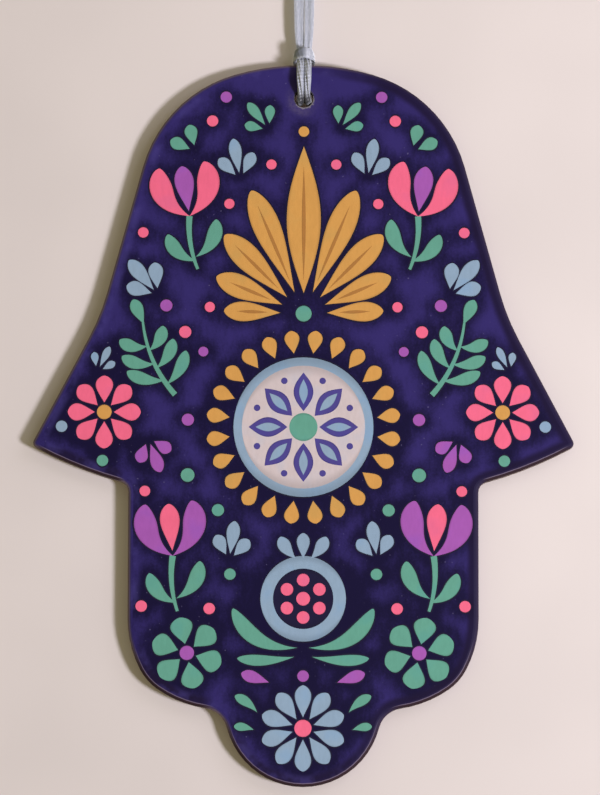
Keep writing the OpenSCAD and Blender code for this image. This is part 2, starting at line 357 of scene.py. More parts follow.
@kept
def night_print(finish):
    """The painting's ground: brushed indigo, darker near the motifs, with painted shade, a painted
    reflection and a painted highlight round the rolled edge.
    """
    paints = bpy.context.scene.plaque_paints
    place = finish.place()
    clouds = finish.noise(place, 9 * MM, 4.0, 0.6)
    strokes = finish.noise(finish.stretched(place, (1, 1, 0.35), (0, 0.6, 0)), 1.1 * MM, 3.0, 0.6)
    x, y, z = (finish.parts(place, which) for which in "XYZ")
    # It darkens near each motif, on the left thumb and towards the fingers, and has pale specks.
    patches = finish.noise(place, 34 * MM, 3.0, 0.55)
    below = DOME_TOP - z
    left_thumb = finish.steps(below, 70 * MM, 105 * MM) * (1 - finish.steps(x, -66 * MM, -26 * MM))
    dusk = finish.steps(below, 85 * MM, 180 * MM) * 0.22 + left_thumb * 0.3
    grain = finish.noise(place, 0.5 * MM, 2.0, 0.7)
    near = finish.carried("near_paint") + (clouds - 0.5) * 0.8 + (patches - 0.5) * 0.7
    near = near + (strokes - 0.5) * 0.5 + (grain - 0.5) * 0.5
    deep = finish.steps(near + dusk, -0.1, 0.95)
    ground = finish.blend(deep, paints.night, paints.shade)
    dust = finish.steps(finish.noise(place, 0.9 * MM, 1.0, 0.5), 0.72, 0.8)
    ground = finish.blend(dust * 0.4, ground, PALE_DUST)
    # Painted shade darkens the hand's right edge and the edges that face down; a painted reflection
    # lightens the left edge and its roll, and faintly the right roll.
    from_hole, chipped = finish.from_hole(), finish.noise(place, 0.7 * MM, 3.0, 0.7)
    rolled = y - FACE
    round_edge = finish.steps(rolled, 0.02 * MM, 0.5 * MM)
    right = finish.steps(x, -6 * MM, 24 * MM)
    reach = 1 - finish.steps(finish.carried("from_edge") + (clouds - 0.5) * 1.2, 0.6, 2.4)
    reach = reach * finish.steps(from_hole, 5 * MM, 8 * MM)
    down = finish.facing_down()
    ground = finish.blend(right.at_least(down) * reach * 0.9, ground, paints.rim)
    ground = finish.blend(right * round_edge * 0.12, ground, paints.rubbed)
    paler = (1 - right) * reach * finish.steps(clouds, 0.42, 0.6) * 0.4
    ground = finish.blend(paler, ground, paints.violet)
    ground = finish.blend((1 - right) * round_edge * 0.85, ground, paints.rubbed)
    # Where an edge faces down, a painted highlight runs as a fine pale line along the roll, with
    # bare edge past it.
    past_line = finish.steps(rolled, 0.09 * MM, 0.15 * MM)
    ground = finish.blend(down * past_line, ground, paints.bare)
    line_ends = finish.steps(rolled, 0.1 * MM, 0.14 * MM)
    glint = finish.steps(rolled, 0.045 * MM, 0.08 * MM) * (1 - line_ends)
    ground = finish.blend(down * glint * (0.55 + chipped * 0.5), ground, paints.glint)
    # The ribbon has chipped the print round its hole, and a faint pale haze lies round the hole,
    # most on its lower left.
    worn = 1 - finish.steps(from_hole + chipped * 1.6 * MM, WORN_RING, 3.8 * MM)
    low_left = finish.steps(HOLE - z - x, -1 * MM, 6 * MM)
    haze = (1 - finish.steps(from_hole, WORN_RING, 5.6 * MM)) * (0.05 + low_left * 0.2)
    ground = finish.blend(haze * finish.steps(clouds + chipped, 0.6, 1.3), ground, HAZE)
    ground = finish.blend(worn * finish.chips() * 0.8, ground, WORN_PRINT)
    height = strokes * 0.6 + clouds * 0.4 - worn
    return finish.surface(
        Base_Color=ground,
        Roughness=0.42 + strokes * 0.12 + worn * 0.3 + round_edge * 0.3,
        Normal=finish.bump(height, 0.03 * MM, 0.5),
        Specular_IOR_Level=0.12,
    )


@kept
def paint(finish, pigment):
    """A flat colour of the painting, with brush marks, a darker rim and the ground's varnish."""
    base = getattr(bpy.context.scene.plaque_paints, pigment)
    place = finish.place()
    brushed = finish.noise(finish.stretched(place, (1, 1, 0.3), (0, 0.5, 0)), 0.9 * MM, 3.0, 0.6)
    washed = finish.noise(place, 7 * MM, 2.0, 0.5)
    rim = 1 - finish.steps(finish.carried("from_rim"), 0.0, 0.9)
    lit = finish.steps(brushed * 0.5 + washed * 0.5, 0.3, 0.7)
    tone = finish.blend(lit, base, tinted(base, 1.12, 1.12, 1.12))
    cool = finish.steps(washed, 0.5, 0.72) * 0.45
    tone = finish.blend(cool, tone, tinted(base, 0.8, 0.98, 1.16))
    tone = finish.blend(rim * (0.25 + brushed * 0.5), tone, tinted(base, 0.55, 0.55, 0.55))
    return finish.surface(
        Base_Color=tone,
        Roughness=0.4 + brushed * 0.1,
        Normal=finish.bump(brushed, 0.02 * MM, 0.5),
        Specular_IOR_Level=0.25,
    )


@kept
def hardboard(finish):
    """Pressed fibre: flecked brown, with the press's wire screen printed on the back."""
    colours = bpy.context.scene.plaque_colours
    place = finish.place()
    clouds = finish.noise(place, 14 * MM, 4.0, 0.6)
    fibres = finish.noise(finish.stretched(place, (1, 1, 0.25), (0, 0.7, 0)), 0.6 * MM, 5.0, 0.7)
    crossed = finish.noise(finish.stretched(place, (0.25, 1, 1), (0, 0.4, 0)), 0.5 * MM, 5.0, 0.7)
    matted = finish.noise(finish.stretched(place, (1, 1, 0.4), (0, 0.5, 0)), 3.2 * MM, 5.0, 0.7)
    flecks = finish.steps(fibres * 0.5 + crossed * 0.5, 0.46, 0.66)
    share = flecks * 0.5 + (clouds - 0.5) * 0.6 + (matted - 0.5) * 0.9 + 0.3
    tone = finish.blend(share, colours.board, colours.fibre)
    mottled = finish.steps(finish.noise(place, 38 * MM, 5.0, 0.62), 0.42, 0.62)
    tone = finish.blend(mottled * 0.3, tone, TAN_MAT)
    stained = finish.steps(finish.noise(place, 24 * MM, 4.0, 0.7), 0.52, 0.68)
    tone = finish.blend(stained * 0.12, tone, DARK_STAIN)
    across, up = (finish.parts(place, which) * (2 * math.pi / SCREEN_STEP) for which in "XZ")
    screen = across.sine() * up.sine()
    on_back = finish.steps(finish.parts(place, "Y"), BACK - 0.25 * MM, BACK - 0.05 * MM)
    tone = finish.blend(on_back * finish.steps(screen, -0.2, 0.8) * 0.4, tone, SCREEN_PIT)
    # Painted shade darkens the bore of the hole, but not the back.
    bore_shade = 1 - finish.steps(finish.from_hole(), 2.55 * MM, 2.7 * MM)
    tone = finish.blend(bore_shade * (1 - on_back) * 0.85, tone, BORE_SHADE)
    height = fibres * 0.4 + crossed * 0.3 - on_back * screen * 0.6
    return finish.surface(
        Base_Color=tone,
        Roughness=0.62 + fibres * 0.2,
        Normal=finish.bump(height, 0.08 * MM, 0.8),
        Specular_IOR_Level=0.12,
    )


@kept
def ground_coat(finish):
    """The matt white coat that shows as a hair line round the painting and at the hole."""
    colours = bpy.context.scene.plaque_colours
    place = finish.place()
    specks = finish.noise(place, 0.5 * MM, 3.0, 0.6)
    speckled = finish.steps(specks, 0.45, 0.75) * 0.5
    tone = finish.blend(speckled, colours.ground, COAT_SPECK)
    rubbed = 1 - finish.steps(finish.from_hole(), WORN_RING, 3.6 * MM)
    chipped = finish.blend(finish.chips(), CHIP_DARK, CHIP_PALE)
    tone = finish.blend(rubbed, tone, chipped)
    outer = finish.steps(finish.parts(place, "Y"), FACE + 0.4 * MM, FACE + 0.6 * MM)
    tone = finish.blend(outer * 0.6, tone, OUTER_COAT)
    return finish.surface(
        Base_Color=tone,
        Roughness=0.6 + specks * 0.15,
        Normal=finish.bump(specks, 0.02 * MM, 0.5),
    )


@kept
def satin(finish):
    """Satin ribbon: floating threads along its length, with painted shade in its folds, painted
    highlights on its crests and a soft sheen.
    """
    colours = bpy.context.scene.plaque_colours
    thread = finish.node("ShaderNodeUVMap", {"uv_map": "thread"})
    across = finish.parts(thread, "X")
    streaks = finish.noise(finish.stretched(thread, (1, 0.06, 1)), 0.16 * MM, 3.0, 0.6)
    slubs = finish.noise(finish.stretched(thread, (1, 0.3, 1)), 0.5 * MM, 3.0, 0.6)
    ribs = (across * (2 * math.pi / RIB_STEP)).sine() * 0.5 + 0.5
    folded = finish.carried("folded")
    # The floating threads show as paler streaks, partly the satin's own slubs and partly a painted
    # sheen.
    floating = finish.steps(streaks * 0.6 + slubs * 0.4, 0.35, 0.7)
    tone = finish.blend(floating, colours.ribbon, PALE_THREAD)
    # Painted shade darkens the ribbon in its folds.
    in_fold = folded.at_least(0.0)
    tone = finish.blend(in_fold * (0.45 + slubs * 0.4), tone, colours.fold)
    # A painted highlight brightens the crests of the crinkles and both edges of the ribbon.
    crest = 1 - finish.steps(folded, -0.45, 0.0)
    tone = finish.blend(crest * 0.85, tone, THREAD_HIGHLIGHT)
    # Painted shade darkens the ribbon where it runs deep in the hole.
    hole_shade = finish.steps(finish.parts(finish.place(), "Y"), -3.9 * MM, -2.4 * MM)
    hole_shade = hole_shade * (1 - finish.steps(finish.from_hole(), 1.4 * MM, 2.4 * MM))
    tone = finish.blend(hole_shade * 0.9, tone, THREAD_IN_SHADE)
    crumpled = finish.noise(finish.stretched(thread, (1, 0.45, 1)), 0.3 * MM, 4.0, 0.65)
    height = ribs * 0.1 + streaks * 0.3 + crumpled * 0.6
    return finish.surface(
        Base_Color=tone,
        Roughness=0.24 + streaks * 0.2,
        Normal=finish.bump(height, 0.16 * MM, 0.8),
        Sheen_Weight=0.2,
        Sheen_Roughness=0.3,
    )


@kept
def plaster(finish):
    """Matt wall paint, paler down on the floor. It shows to the camera alone, so that the plaque's
    back is lit as well."""
    wall = bpy.context.scene.plaque_colours.wall
    place = finish.place()
    rolled = finish.noise(place, 2.5 * MM, 3.0, 0.6)
    cloudy = finish.noise(place, 60 * MM, 2.0, 0.5)
    tone = finish.blend(finish.steps(cloudy, 0.3, 0.7), wall, tinted(wall, 1.06, 1.06, 1.06))
    # Painted light: the wall is lighter to the right and darker low down, as the lamps would light
    # it.
    side = finish.steps(finish.parts(place, "X"), -0.12, 0.12)
    height = finish.steps(finish.parts(place, "Z"), -0.25, -0.13)
    tone = finish.blend(1.0, tone, (0.955 + side * 0.085) * (0.94 + height * 0.06), "MULTIPLY")
    painted = {"Color": tone, "Normal": finish.bump(rolled, 0.05 * MM, 0.35)}
    diffuse = finish.node("ShaderNodeBsdfDiffuse", {}, painted)
    clear = finish.node("ShaderNodeBsdfTransparent")
    pale = finish.node("ShaderNodeEmission", {}, {"Color": PALE_FLOOR, "Strength": 1.0})
    floor = 1 - finish.steps(finish.parts(place, "Z"), -0.34, -0.25)
    lit = finish.node("ShaderNodeMixShader", {}, {0: floor * 0.8, 1: diffuse, 2: pale})
    seen = finish.node("ShaderNodeLightPath", output="Is Camera Ray")
    behind = finish.node("ShaderNodeNewGeometry", output="Backfacing")
    shown = finish.node("ShaderNodeMixShader", {}, {0: seen * (1 - behind), 1: clear, 2: lit})
    return finish.ends_in("ShaderNodeOutputMaterial", shown)


def grid(rows, columns, closed=False):
    """Faces between each row of points and the next, where a closed row ends at its own start."""
    i, j = np.meshgrid(np.arange(rows - 1), np.arange(columns - (not closed)), indexing="ij")
    k = (j + 1) % columns
    near, far = i * columns, (i + 1) * columns
    return np.stack([near + j, near + k, far + k, far + j], -1).reshape(-1, 4)


def made(name, points, faces, finish, body, slot, smooth=True, carries=None, uv=None):
    """A finished piece from its points and faces, on a body, with its material; its slot is not
    used.
    Carries are numbers for the material, one at each point, and uv holds places along a thread."""
    mesh = bpy.data.meshes.new(name)
    mesh.from_pydata(points.tolist(), [], [list(map(int, f)) for f in faces])
    mesh.update()
    for key, values in (carries or {}).items():
        mesh.attributes.new(key, "FLOAT", "POINT").data.foreach_set("value", np.float32(values))
    if uv is not None:
        corner = np.zeros(len(mesh.loops), np.int32)
        mesh.loops.foreach_get("vertex_index", corner)
        mesh.uv_layers.new(name="thread").data.foreach_set("uv", np.float32(uv[corner]).ravel())
    mesh.polygons.foreach_set("use_smooth", np.full(len(mesh.polygons), smooth))
    mesh.materials.append(finish)
    piece = bpy.data.objects.new(name, mesh)
    bpy.context.scene.collection.objects.link(piece)
    if body:
        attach(piece, body)
    return piece


# A stroke is an array of rows of x, height above the dome's top and half width, in millimetres.
# Its stations lie closer together towards both of its ends.
STATIONS = 33
ALONG = (1 - np.cos(np.linspace(0, np.pi, STATIONS))) / 2


def stroke(start, end, half, bow=0.0):
    """A parabola from start to end that bows to the left by bow, with the half widths given."""
    a, b = np.array(start, float), np.array(end, float)
    way = b - a
    side = np.array([-way[1], way[0]]) / np.hypot(*way)
    line = a + ALONG[:, None] * way + (4 * bow * ALONG * (1 - ALONG))[:, None] * side
    return np.column_stack([line, np.broadcast_to(half, STATIONS)])


def drop(tip, bulb, half, bow=0.0):
    """A teardrop: half times the 0.6th power of sin(pi u^1.7), with u from its tip to its bulb."""
    return stroke(tip, bulb, half * np.sin(np.pi * ALONG**1.7).clip(0) ** 0.6, bow)


def leaf(start, end, half, bow=0.0):
    """A leaf pointed at both ends: half times sin(pi u)."""
    return stroke(start, end, half * np.sin(np.pi * ALONG).clip(0), bow)


def stem(start, end, thick, thin, bow=0.0):
    """A stalk whose half width falls evenly from thick to thin."""
    return stroke(start, end, thick + (thin - thick) * ALONG, bow)


def dot(centre, radius):
    """A disc, as a straight stroke whose half width is a half circle."""
    x, y = centre
    return stroke((x - radius, y), (x + radius, y), radius * 2 * np.sqrt(ALONG * (1 - ALONG)))


def dots(*places):
    """Discs, each from its x, its height and its radius."""
    return [dot((x, y), radius) for x, y, radius in places]


def leaned(strokes, angle, at=(0, 0), size=1.0):
    """Strokes leant to the right by an angle in degrees, scaled, and moved to a point."""
    c, s = math.cos(math.radians(angle)), math.sin(math.radians(angle))
    out = np.array(strokes, float)
    out[..., :2] = out[..., :2] @ np.array([[c, -s], [s, c]]) * size + np.array(at, float)
    out[..., 2] *= size
    return out


def burst(shape, count, turn=0.0):
    """A stroke repeated evenly round the origin."""
    return np.concatenate([leaned([shape], turn + 360 * i / count) for i in range(count)])


def set_down(motif, at, angle=0.0, size=1.0):
    """A motif, which is a dict of strokes by pigment, leant, scaled and moved."""
    return {pigment: leaned(strokes, angle, at, size) for pigment, strokes in motif.items()}


def twinned(motif):
    """A motif with its mirror image in the hand's upright middle line."""
    return {p: np.concatenate([s, s * np.array([-1, 1, 1])]) for p, s in motif.items()}


def gathered(*motifs):
    """Several motifs as one."""
    found = {}
    for motif in motifs:
        for pigment, strokes in motif.items():
            found.setdefault(pigment, []).append(np.asarray(strokes, float))
    return {pigment: np.concatenate(lists) for pigment, lists in found.items()}


def tulip(side, heart):
    """A tulip on a stalk with two leaves, about 26 mm tall, with the cup's foot at the origin."""
    cup = [drop((0, 0), (x, 12.5), 2.7, bow) for x, bow in ((-5.4, 2.6), (5.4, -2.6))]
    return gathered(
        {"teal": [stem((0, 0), (0, -13), 0.75, 0.35, 0.8)]},
        {"teal": [drop((0, -10), (-6.2, -1.8), 1.8, 1.6), drop((0, -11), (5.8, -3.6), 1.7, -1.5)]},
        {side: cup, heart: [drop((0, 1.2), (0, 12.2), 2.3)]},
    )


def daisy(petals, reach, petal, heart):
    """A round flower of drops whose bulbs point outwards."""
    half = reach * math.sin(math.pi / petals) * 0.62
    return {
        petal: burst(drop((0, 0.26 * reach), (0, reach), half), petals),
        heart: [dot((0, 0), 0.2 * reach)],
    }


def sprig(count, reach, spread, pigment, half=1.5):
    """A fan of drops from one point, longest in the middle."""
    lean = np.linspace(-spread, spread, count)
    long = reach * (1 - 0.28 * (lean / max(spread, 1)) ** 2)
    return {
        pigment: np.concatenate(
            [leaned([drop((0, 1.8), (0, r), half)], a) for a, r in zip(lean, long)]
        )
    }


def branch(pigment, height, pairs):
    """A curved stalk with pairs of leaves that grow shorter towards its end."""
    strokes = [stem((0, 0), (0, height), 0.6, 0.25, -0.08 * height)]
    for i in range(pairs):
        up = height * (0.16 + 0.72 * i / pairs)
        bowed = 0.32 * up * (1 - up / height)
        far = 6.6 - 0.9 * i
        strokes.append(drop((bowed, up), (bowed - far, up + 0.75 * far), 1.35, 0.8))
        strokes.append(drop((bowed, up + 1), (bowed + far, up + 1 + 0.75 * far), 1.35, -0.8))
    strokes.append(drop((0, height - 0.5), (0, height + 5.2), 1.35))
    return {pigment: strokes}


# The middles of the roundel and the pomegranate, and the foot of the palmette.
ROUNDEL = (0, -96.5)
FRUIT = (0, -141.6)
FAN = (0, -66.5)


def roundel():
    """The disc in the palm: a rim and a ring of rays."""
    return {
        "gold": leaned(burst(drop((0, 19.6), (0, 25.6), 1.95), 24, 7.5), 0, ROUNDEL),
        "sky": [dot(ROUNDEL, 18.4)],
        "white": [dot(ROUNDEL, 16.2)],
    }


def roundel_star():
    """What lies on the disc."""
    petals = burst(leaf((0, 4.2), (0, 14.4), 2.6), 8)
    beads = burst(dot((0, 13.2), 0.85), 8, 22.5)
    star = leaned(np.concatenate([petals, beads]), 0, ROUNDEL)
    return {"violet": star, "teal": [dot(ROUNDEL, 3.7)]}


def roundel_veins():
    """The pale veins of the star."""
    return {"sky": leaned(burst(leaf((0, 6), (0, 12.6), 1.15), 8), 0, ROUNDEL)}


def palmette():
    """The gold fan of nine leaves above the roundel, its foot and the beads round it."""
    leaves = ((23, 35.5, 3.6), (45, 29.5, 3.4), (67, 25, 3.1), (88, 21, 2.6))
    side = [leaned([drop((0, 6.2), (0, r), h)], a)[0] for a, r, h in leaves]
    beads = [leaned([dot((0, r), 1.35)], a)[0] for a, r in ((12.2, 40.6), (34, 35.2), (86, 24.8))]
    return gathered(
        twinned({"gold": leaned(side, 0, FAN), "pink": leaned(beads, 0, FAN)}),
        {"gold": leaned([leaf((0, 5.5), (0, 44.5), 4.5)], 0, FAN), "teal": [dot(FAN, 2.1)]},
    )


def palmette_veins():
    """A thin vein down each gold leaf."""
    reaches = ((23, 31), (45, 25.5), (67, 21), (88, 17.5))
    side = [leaned([leaf((0, 9.5), (0, r), 0.42)], a)[0] for a, r in reaches]
    middle = leaned([leaf((0, 9), (0, 39), 0.5)], 0, FAN)
    return gathered(twinned({"ochre": leaned(side, 0, FAN)}), {"ochre": middle})


def fruit():
    """A pomegranate: a rind, a crown of three leaves, and a long and a short leaf on each side."""
    tips = ((-6, 16.2), (0, 17.2), (6, 16.2))
    crown = [drop((x / 3, 10.6), (x, y), 1.7, -x / 12) for x, y in tips]
    leaves = [
        drop((1.6, -12.8), (18.4, -2.6), 2.1, -3.4),
        drop((2.4, -15.2), (17.2, -15.6), 1.45, -0.7),
    ]
    motif = gathered(
        {"sky": [dot((0, 0), 11.2), *crown], "shade": [dot((0, 0), 7.9)]}, twinned({"teal": leaves})
    )
    return set_down(motif, FRUIT)


def seeds():
    """Seven seeds in the pomegranate."""
    return set_down({"pink": [dot((0, 0), 1.8), *burst(dot((0, 4.9), 1.65), 6)]}, FRUIT)


def shoulder_flowers():
    """Tulips and sprigs on both shoulders of the hand."""
    return gathered(
        {"gold": dots((0, -18, 1.4))},
        twinned(
            gathered(
                set_down(tulip("pink", "purple"), (30.2, -40.6), 9, 1.1),
                set_down(sprig(3, 9.2, 40, "teal", 1.35), (9.2, -17.6), 38),
                set_down(sprig(3, 11, 36, "sky", 1.65), (16.8, -30.8), 10),
                set_down(sprig(2, 10.2, 26, "teal", 1.7), (28.6, -23.4), 40),
                set_down(sprig(3, 12, 34, "sky", 1.95), (38.4, -61.6), 40),
                {"purple": dots((20.6, -8.8, 1.5), (36.2, -64.4, 1.6))},
                {"pink": dots((24.2, -15.2, 1.5), (42.4, -45.0, 1.4))},
            )
        ),
    )


def waist_branches():
    """A leafy branch up each side of the waist."""
    return twinned(
        gathered(
            set_down(branch("teal", 17, 3), (33.8, -88.0), 24, 1.24),
            {"pink": dots((31.2, -71.4, 1.6))},
            {"purple": dots((26.4, -76.6, 1.3), (30.4, -94.6, 1.6))},
        )
    )


def thumb_flowers():
    """A daisy on each thumb, with drops towards the thumb's tip and under it."""
    return twinned(
        gathered(
            set_down(daisy(8, 9.6, "pink", "gold"), (52.4, -92.6)),
            set_down(sprig(3, 7.6, 34, "sky", 1.0), (54.4, -82.2), -26),
            set_down(sprig(3, 9.6, 40, "purple", 1.7), (40.8, -99.4), 200),
            {"sky": dots((63.6, -96.4, 1.5))},
            {"teal": dots((52.8, -105.4, 1.5), (30.4, -109.2, 1.8))},
        )
    )


def palm_flowers():
    """Tulips up both sides of the palm and a flower on each outer finger."""
    return twinned(
        gathered(
            set_down(tulip("purple", "pink"), (34.2, -130.4), 5, 1.12),
            set_down(sprig(3, 10.4, 36, "sky", 1.75), (19.4, -131.6), -8),
            set_down(daisy(6, 9.4, "teal", "purple"), (30.4, -155.8), 12),
            {"teal": dots((19.2, -135.2, 1.5), (22.4, -118.4, 1.6))},
            {"pink": dots((42.4, -143.6, 1.5), (24.6, -144.2, 1.5), (41.6, -113.4, 1.4))},
        )
    )


def fingertip_flower():
    """The round flower on the middle finger and the drops round it."""
    leaves = [
        drop((12, -171.2), (17.8, -167), 1.3, 0.5),
        drop((12.9, -175.8), (18, -175), 1.1, 0.3),
    ]
    return gathered(
        {"purple": dots((0, -161.8, 1.5))},
        set_down(daisy(10, 11.2, "sky", "pink"), (0, -175.4)),
        twinned(set_down(sprig(1, 9.4, 0, "purple", 1.6), (7.2, -164.0), 72)),
        twinned({"teal": leaves}),
    )


# Layers of the painting, as how many thicknesses of paint lie under a motif's first pigment.
BOTTOM_LAYER, MIDDLE_LAYER, TOP_LAYER = 1, 3, 5


def painting():
    """Every motif by its name, with the paint layer that it lies on."""
    return {
        "roundel": (BOTTOM_LAYER, roundel()),
        "roundel_star": (MIDDLE_LAYER, roundel_star()),
        "roundel_veins": (TOP_LAYER, roundel_veins()),
        "palmette": (BOTTOM_LAYER, palmette()),
        "palmette_veins": (MIDDLE_LAYER, palmette_veins()),
        "fruit": (BOTTOM_LAYER, fruit()),
        "seeds": (MIDDLE_LAYER, seeds()),
        "shoulder": (BOTTOM_LAYER, shoulder_flowers()),
        "waist": (BOTTOM_LAYER, waist_branches()),
        "thumb": (BOTTOM_LAYER, thumb_flowers()),
        "palm": (BOTTOM_LAYER, palm_flowers()),
        "fingertip": (BOTTOM_LAYER, fingertip_flower()),
    }


# How deep paint reaches into the print, and how much further out each stroke of a piece lies.
PAINT_FOOT = 0.03 * MM
STROKES_APART = 0.0003 * MM


def widened(strokes, line):
    """Strokes made wider by a line's width all round, with their ends moved out as far."""
    out = np.array(strokes, float)
    out[..., 2] += line
    ends = out[:, [1, -2], :2] - out[:, [2, -3], :2]
    ends /= np.linalg.norm(ends, axis=2, keepdims=True)
    out[:, [0, -1], :2] += ends * line
    out[:, [0, -1], 2] = 0.35 * line
    return out


def brushed(name, strokes, layer, pigment):
    """A thin flat piece of paint: each stroke is a ring of six points carried along its line and
    down into the layers below on both sides. Each point carries 0 at the rim and 1 inside it."""
    strokes = np.array(strokes, float)
    count = len(strokes)
    line, half = strokes[..., :2], np.maximum(strokes[..., 2], 0.03)
    way = np.gradient(line, axis=1)
    way /= np.linalg.norm(way, axis=2, keepdims=True)
    right = np.stack([way[..., 1], -way[..., 0]], -1)
    across = np.array([-1, -1, -0.78, 0.78, 1, 1])
    flat = line[:, :, None] + right[:, :, None] * (across * half[..., None])[..., None]
    top = FACE - layer * bpy.context.scene.plaque_sizes.paint
    deep = np.array([1, 0, 0, 0, 0, 1]) * (FACE + PAINT_FOOT - top) + top
    apart = STROKES_APART * np.arange(count)[:, None, None]
    points = np.empty((count, STATIONS, 6, 3))
    points[..., 0] = flat[..., 0] * MM
    points[..., 1] = deep - apart
    points[..., 2] = flat[..., 1] * MM + DOME_TOP
    each = STATIONS * 6
    starts = np.arange(count)[:, None, None] * each
    walls = (grid(STATIONS, 6, closed=True)[None] + starts).reshape(-1, 4)
    caps = np.concatenate([np.arange(5, -1, -1)[None], each - 6 + np.arange(6)[None]])
    caps = (caps[None] + starts).reshape(-1, 6)
    rim = np.broadcast_to([0, 0, 1, 1, 0, 0], (count, STATIONS, 6)).ravel()
    return made(
        name,
        points.reshape(-1, 3),
        [*walls, *caps],
        paint(pigment),
        "plaque",
        "print",
        smooth=False,
        carries={"from_rim": rim},
    )


def lay_paint(*names):
    """The pieces of some motifs: a dark outline under each one on the bottom layer, then one piece
    for each pigment.
    """
    line = bpy.context.scene.plaque_sizes.line / MM
    for name in names:
        layer, motif = painting()[name]
        if layer == BOTTOM_LAYER:
            every = np.concatenate(list(motif.values()))
            brushed(f"{name}_outline", widened(every, line), layer, "outline")
        for step, (pigment, strokes) in enumerate(motif.items()):
            brushed(f"{name}_{pigment}", strokes, layer + 1 + 0.3 * step, pigment)


def flat_edge():
    """Heights and half widths of the print's flat front, from the top of the dome down."""
    node = frame["nodes"]["printed_face"]
    co = np.empty(len(node.data.vertices) * 3)
    node.data.vertices.foreach_get("co", co)
    co = co.reshape(-1, 3)
    on_front = (co[:, 1] < FACE + 0.001 * MM) & (co[:, 0] > -0.001 * MM)
    on_front &= np.hypot(co[:, 0], co[:, 2] - HOLE) > 4 * MM
    edge = np.unique(np.round(co[on_front][:, [2, 0]], 7), axis=0)[::-1]
    return edge[:, 0], edge[:, 1]


# Points in each row of the painting's ground.
GROUND_COLUMNS = 121


def painted_ground():
    """The flat of the painting's ground: rows across the hand at every height of its edge and
    evenly between them. Each point carries how near the paint is: one less the product over all
    strokes of one less 0.62 exp(-(d / halo)^2), where d is the distance from the stroke's edge. It
    also carries its distance from the edge of the flat, in millimetres."""
    z, wide = flat_edge()
    rows = np.unique(np.concatenate([z, np.linspace(z.min(), z.max(), 250)]))
    half = np.interp(rows, z[::-1], wide[::-1])
    share = np.linspace(-1, 1, GROUND_COLUMNS)
    x, up = np.broadcast_arrays(share[None] * half[:, None], rows[:, None])
    spread = bpy.context.scene.plaque_sizes.halo
    clear = np.ones(x.shape)
    for layer, motif in painting().values():
        if layer > BOTTOM_LAYER:
            continue
        for s in np.concatenate(list(motif.values()))[:, ::2]:
            away = np.hypot(x[..., None] - s[:, 0] * MM, up[..., None] - DOME_TOP - s[:, 1] * MM)
            d = (away - s[:, 2] * MM).min(-1).clip(0)
            clear *= 1 - 0.62 * np.exp(-((d / spread) ** 2))
    run = np.concatenate([[0], np.cumsum(np.hypot(np.diff(z), np.diff(wide)))])
    even = np.linspace(0, run[-1], 700)
    rim_x, rim_z = np.interp(even, run, wide), np.interp(even, run, z)
    from_edge = np.hypot(np.abs(x)[..., None] - rim_x, up[..., None] - rim_z).min(-1) / MM
    just_over = np.full(x.shape, FACE - 0.008 * MM)
    points = np.stack([x, just_over, up], -1).reshape(-1, 3)
    quads = grid(len(rows), GROUND_COLUMNS)
    open_ground = np.hypot(points[:, 0], points[:, 2] - HOLE) > 3.0 * MM
    quads = quads[open_ground[quads].all(1)]
    return points, quads, {"near_paint": (1 - clear).ravel(), "from_edge": from_edge.ravel()}


def smoothed(points, count):
    """Evenly spaced parameters on a Catmull-Rom curve through rows of numbers, ends included."""
    p = np.array(points, float)
    p = np.vstack([2 * p[0] - p[1], p, 2 * p[-1] - p[-2]])
    t = np.linspace(0, len(points) - 1, count)
    i = np.minimum(t.astype(int), len(points) - 2)
    u = (t - i)[:, None]
    a, b, c, d = p[i], p[i + 1], p[i + 2], p[i + 3]
    square, cube = (2 * a - 5 * b + 4 * c - d) * u**2, (3 * b - a - 3 * c + d) * u**3
    return 0.5 * (2 * b + (c - a) * u + square + cube)


